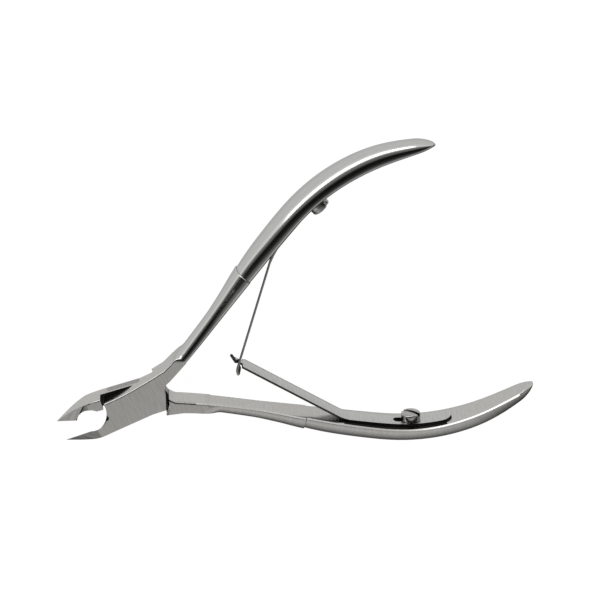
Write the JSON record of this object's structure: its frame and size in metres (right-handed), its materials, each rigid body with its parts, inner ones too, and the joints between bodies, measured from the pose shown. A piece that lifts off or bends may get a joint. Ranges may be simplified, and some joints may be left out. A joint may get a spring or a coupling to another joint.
{
  "type": "cuticle nipper",
  "caption": "Hand-held cuticle nipper: two arms in a half-lap joint, slanted cutting jaws, bowed grips, and leaf springs linked between the grips and held by slotted screws.",
  "frame": {"origin": "middle of the bounding box in X and Y, at the lowest side of the grips in Z; the tool lies on its side", "axes": "+X runs from the jaws to the ends of the grips, +Y is the side of the front arm's grip, +Z is the joint axis, towards the side of the front lap"},
  "size_m": [0.1004, 0.0708, 0.0086],
  "materials": {
    "arm_steel": "satin brushed stainless steel with polished grips",
    "spring_steel": "fine satin spring steel",
    "screw_steel": "bright turned steel"
  },
  "bodies": {
    "front": {"front_arm": "arm_steel", "pivot_rivet": "arm_steel", "front_leaf_foot": "spring_steel", "front_spring_screw": "screw_steel"},
    "rear": {"rear_arm": "arm_steel", "rear_leaf_foot": "spring_steel", "rear_spring_screw": "screw_steel"},
    "front_blade": {"front_leaf_blade": "spring_steel"},
    "rear_blade": {"rear_leaf_blade": "spring_steel"}
  },
  "joints": [
    {"name": "pivot", "type": "hinge", "parent": "front", "child": "rear", "pos_m": [-0.0307, 0, 0.00428], "axis": [0, 0, 1], "range_deg": [0, 14.4], "stiffness_Nm_per_rad": 1.1, "springref_deg": -14.32},
    {"name": "front_spring_flex", "type": "hinge", "parent": "front", "child": "front_blade", "pos_m": [0.00992, 0.02235, 0.00428], "axis": [0, 0, 1], "range_deg": [-7.8, 0]},
    {"name": "rear_spring_flex", "type": "hinge", "parent": "rear", "child": "rear_blade", "pos_m": [0.00992, -0.02235, 0.00428], "axis": [0, 0, 1], "range_deg": [0, 7.8]}
  ],
  "couplings": [
    {"joint": "front_spring_flex", "follows": "pivot", "ratio": -0.5392},
    {"joint": "rear_spring_flex", "follows": "pivot", "ratio": 0.5392}
  ]
}
